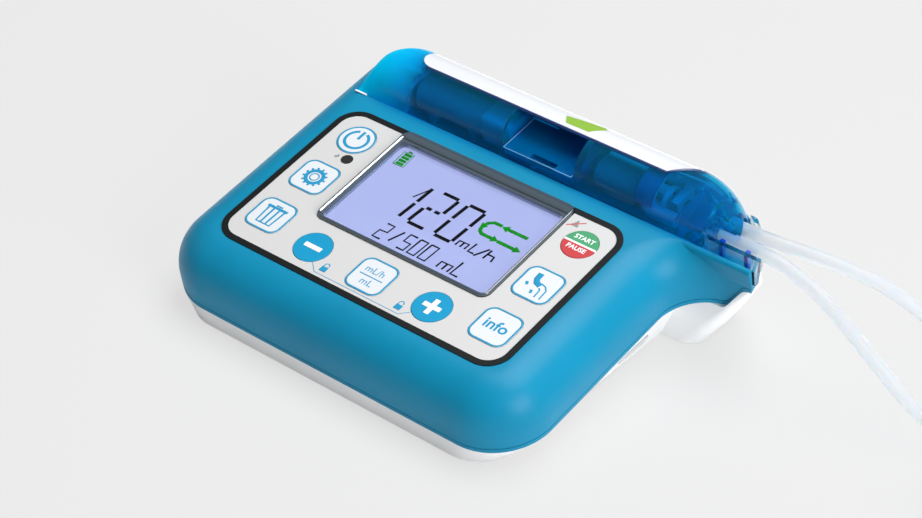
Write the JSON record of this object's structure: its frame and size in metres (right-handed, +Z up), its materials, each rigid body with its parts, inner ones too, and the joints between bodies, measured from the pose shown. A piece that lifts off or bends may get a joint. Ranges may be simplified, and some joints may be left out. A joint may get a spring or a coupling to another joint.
{
  "type": "enteral feeding pump",
  "caption": "Table-top peristaltic tube pump: sloped keypad housing, LCD, roller pump under a hinged clear blue door, cassette with two tubes.",
  "frame": {"origin": "on the standing surface, at the middle of the pump's footprint box, tubing left out", "axes": "+X to the operator's right along the keypad, where the tubes leave; +Y away from the operator towards the door; +Z up"},
  "size_m": [0.3144, 0.1588, 0.0526],
  "materials": {
    "blue_housing": "satin",
    "blue_housing_trim": "satin",
    "white_base": "satin",
    "grey_rubber": "matte",
    "dark_rubber": "matte",
    "steel_fastener": "satin",
    "brass_insert": "satin",
    "keypad_face": "satin",
    "black_seal": "satin",
    "sensor_lens": "gloss",
    "clear_bezel": "gloss",
    "lcd_window": "gloss",
    "lcd_module": "gloss",
    "backlight_white": "matte",
    "circuit_board": "satin",
    "black_part": "matte",
    "battery_wrap": "satin",
    "tray_moulding": "satin",
    "motor_can": "satin",
    "gearbox_shell": "satin",
    "sleeve_moulding": "satin",
    "bearing_steel": "polished",
    "rotor_plastic": "satin",
    "roller_plastic": "satin",
    "clear_tube": "gloss",
    "clear_cassette": "gloss",
    "royal_blue": "gloss",
    "clear_blue_door": "gloss",
    "white_inlay": "satin",
    "platen_blue": "gloss",
    "clear_blue_latch": "gloss",
    "connector_purple": "gloss",
    "key_disc_blue": "satin",
    "key_white": "satin",
    "key_start_pause": "satin"
  },
  "bodies": {
    "housing": {"front_shell": "blue_housing", "seam_trim": "blue_housing_trim", "base_shell": "white_base", "port_cover": "grey_rubber", "rubber_feet": "dark_rubber", "housing_screws": "steel_fastener", "clamp_inserts": "brass_insert", "keypad_overlay": "keypad_face", "keypad_gasket": "black_seal", "light_sensor": "sensor_lens", "display_bezel": "clear_bezel", "display_window": "lcd_window", "lcd_module": "lcd_module", "backlight": "backlight_white", "keypad_board": "circuit_board", "main_board": "circuit_board", "buzzer": "black_part", "battery_cover": "white_base", "battery_cover_screws": "steel_fastener", "battery_pack": "battery_wrap", "pump_chassis": "tray_moulding", "motor": "motor_can", "gearbox": "gearbox_shell", "shaft_sleeve": "sleeve_moulding", "bearing_left": "bearing_steel", "bearing_right": "bearing_steel", "pump_tube": "clear_tube", "cassette_body": "clear_cassette", "cassette_bars": "royal_blue", "hinge_pin": "steel_fastener", "coil_to_patient": "clear_tube", "tube_to_patient": "clear_tube", "patient_connector": "connector_purple", "coil_from_bag": "clear_tube", "tube_from_bag": "clear_tube", "bag_connector": "connector_purple"},
    "door_leaf": {"door": "clear_blue_door", "door_inlay": "white_inlay", "platen": "platen_blue", "latch_pin": "steel_fastener"},
    "latch_plate": {"latch": "clear_blue_latch"},
    "rotor_group": {"drive_shaft": "bearing_steel", "rotor": "rotor_plastic", "roller_pins": "bearing_steel"},
    "roller_1_body": {"roller_1": "roller_plastic"},
    "roller_2_body": {"roller_2": "roller_plastic"},
    "roller_3_body": {"roller_3": "roller_plastic"},
    "power_key_body": {"power_key": "key_white"},
    "settings_key_body": {"settings_key": "key_white"},
    "clear_key_body": {"clear_key": "key_white"},
    "minus_key_body": {"minus_key": "key_disc_blue"},
    "unit_key_body": {"unit_key": "key_white"},
    "plus_key_body": {"plus_key": "key_disc_blue"},
    "start_pause_key_body": {"start_pause_key": "key_start_pause"},
    "prime_key_body": {"prime_key": "key_white"},
    "info_key_body": {"info_key": "key_white"}
  },
  "joints": [
    {"name": "door_hinge", "type": "hinge", "parent": "housing", "child": "door_leaf", "pos_m": [-0.0123, 0.04949, 0.04102], "axis": [-1, 0, 0], "range_deg": [0, 90]},
    {"name": "latch_rock", "type": "hinge", "parent": "door_leaf", "child": "latch_plate", "pos_m": [0.00095, 0.031, 0.04223], "axis": [-1, 0, 0], "range_deg": [0, 5], "stiffness_Nm_per_rad": 0.05},
    {"name": "rotor_spin", "type": "hinge", "parent": "housing", "child": "rotor_group", "pos_m": [0.03845, 0.03815, 0.04085], "axis": [1, 0, 0], "continuous": true},
    {"name": "roller_1_spin", "type": "hinge", "parent": "rotor_group", "child": "roller_1_body", "pos_m": [0.03845, 0.03763, 0.0438], "axis": [1, 0, 0], "continuous": true},
    {"name": "roller_2_spin", "type": "hinge", "parent": "rotor_group", "child": "roller_2_body", "pos_m": [0.03845, 0.03585, 0.03892], "axis": [1, 0, 0], "continuous": true},
    {"name": "roller_3_spin", "type": "hinge", "parent": "rotor_group", "child": "roller_3_body", "pos_m": [0.03845, 0.04097, 0.03982], "axis": [1, 0, 0], "continuous": true},
    {"name": "power_key_press", "type": "slide", "parent": "housing", "child": "power_key_body", "axis": [0, 0.1736, -0.9848], "range_m": [0, 0.0004], "stiffness_N_per_m": 600},
    {"name": "settings_key_press", "type": "slide", "parent": "housing", "child": "settings_key_body", "axis": [0, 0.1736, -0.9848], "range_m": [0, 0.0004], "stiffness_N_per_m": 600},
    {"name": "clear_key_press", "type": "slide", "parent": "housing", "child": "clear_key_body", "axis": [0, 0.1736, -0.9848], "range_m": [0, 0.0004], "stiffness_N_per_m": 600},
    {"name": "minus_key_press", "type": "slide", "parent": "housing", "child": "minus_key_body", "axis": [0, 0.1736, -0.9848], "range_m": [0, 0.0004], "stiffness_N_per_m": 600},
    {"name": "unit_key_press", "type": "slide", "parent": "housing", "child": "unit_key_body", "axis": [0, 0.1736, -0.9848], "range_m": [0, 0.0004], "stiffness_N_per_m": 600},
    {"name": "plus_key_press", "type": "slide", "parent": "housing", "child": "plus_key_body", "axis": [0, 0.1736, -0.9848], "range_m": [0, 0.0004], "stiffness_N_per_m": 600},
    {"name": "start_pause_key_press", "type": "slide", "parent": "housing", "child": "start_pause_key_body", "axis": [0, 0.1736, -0.9848], "range_m": [0, 0.0004], "stiffness_N_per_m": 600},
    {"name": "prime_key_press", "type": "slide", "parent": "housing", "child": "prime_key_body", "axis": [0, 0.1736, -0.9848], "range_m": [0, 0.0004], "stiffness_N_per_m": 600},
    {"name": "info_key_press", "type": "slide", "parent": "housing", "child": "info_key_body", "axis": [0, 0.1736, -0.9848], "range_m": [0, 0.0004], "stiffness_N_per_m": 600}
  ]
}
